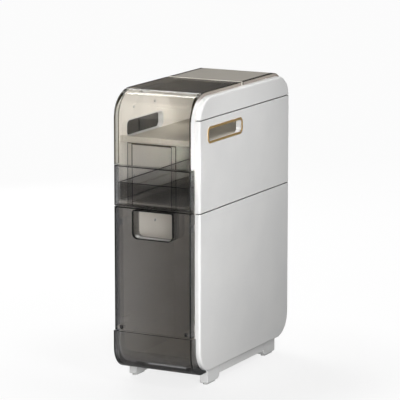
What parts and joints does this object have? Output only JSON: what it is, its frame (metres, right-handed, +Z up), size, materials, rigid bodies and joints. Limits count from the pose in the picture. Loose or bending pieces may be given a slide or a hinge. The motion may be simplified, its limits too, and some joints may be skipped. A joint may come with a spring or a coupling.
{
  "type": "bathroom cabinet",
  "caption": "Narrow free-standing bathroom cabinet with white side walls, a tinted flip-up lid over a clear window, a drawer, a flip-down door and framed paper slots in the sides.",
  "frame": {"origin": "centre of the box around the cabinet, at floor level", "axes": "+Z up, +X to the right as seen from the front, -Y out of the front"},
  "size_m": [0.2224, 0.4766, 0.67],
  "materials": {
    "white_shell": "satin",
    "cream_liner": "matte",
    "clear_tint": "gloss",
    "smoke_tint": "gloss",
    "slot_frame_gold": "metallic",
    "dark_plastic": "matte",
    "steel": "brushed",
    "rubber_pad": "matte"
  },
  "bodies": {
    "cabinet": {"lower_side_right": "white_shell", "middle_side_right": "white_shell", "top_side_right": "white_shell", "slot_frame_right": "slot_frame_gold", "slot_sleeve_right": "white_shell", "lower_liner_right": "cream_liner", "upper_liner_right": "cream_liner", "base_skirt_right": "white_shell", "front_foot_right": "white_shell", "rear_foot_right": "white_shell", "drawer_runner_right": "cream_liner", "door_hinge_bracket_right": "cream_liner", "lower_side_left": "white_shell", "middle_side_left": "white_shell", "top_side_left": "white_shell", "slot_frame_left": "slot_frame_gold", "slot_sleeve_left": "white_shell", "lower_liner_left": "cream_liner", "upper_liner_left": "cream_liner", "base_skirt_left": "white_shell", "front_foot_left": "white_shell", "rear_foot_left": "white_shell", "drawer_runner_left": "cream_liner", "door_hinge_bracket_left": "cream_liner", "liner_screws": "steel", "base_floor": "cream_liner", "foot_pads": "rubber_pad", "lower_back_panel": "cream_liner", "upper_back_panel": "cream_liner", "back_screws": "steel", "module_deck": "cream_liner", "upper_shelf": "cream_liner", "top_bridge": "cream_liner", "lid_hinge_pins": "steel", "rear_top_cover": "clear_tint", "door_catches": "cream_liner", "slot_plug": "dark_plastic", "bottom_cover": "smoke_tint", "cover_clips": "dark_plastic"},
    "lid": {"front_lid": "clear_tint"},
    "drawer": {"drawer_front": "smoke_tint", "drawer_box": "smoke_tint"},
    "door": {"lower_door": "smoke_tint", "door_grip_bezel": "smoke_tint", "door_hinge_pins": "steel", "door_strikes": "steel"}
  },
  "joints": [
    {"name": "lid_hinge", "type": "hinge", "parent": "cabinet", "child": "lid", "pos_m": [0, 0.01125, 0.663], "axis": [-1, 0, 0], "range_deg": [0, 95]},
    {"name": "drawer_slide", "type": "slide", "parent": "cabinet", "child": "drawer", "axis": [0, -1, 0], "range_m": [0, 0.28]},
    {"name": "door_hinge", "type": "hinge", "parent": "cabinet", "child": "door", "pos_m": [0, -0.22875, 0.13], "axis": [1, 0, 0], "range_deg": [0, 90]}
  ]
}
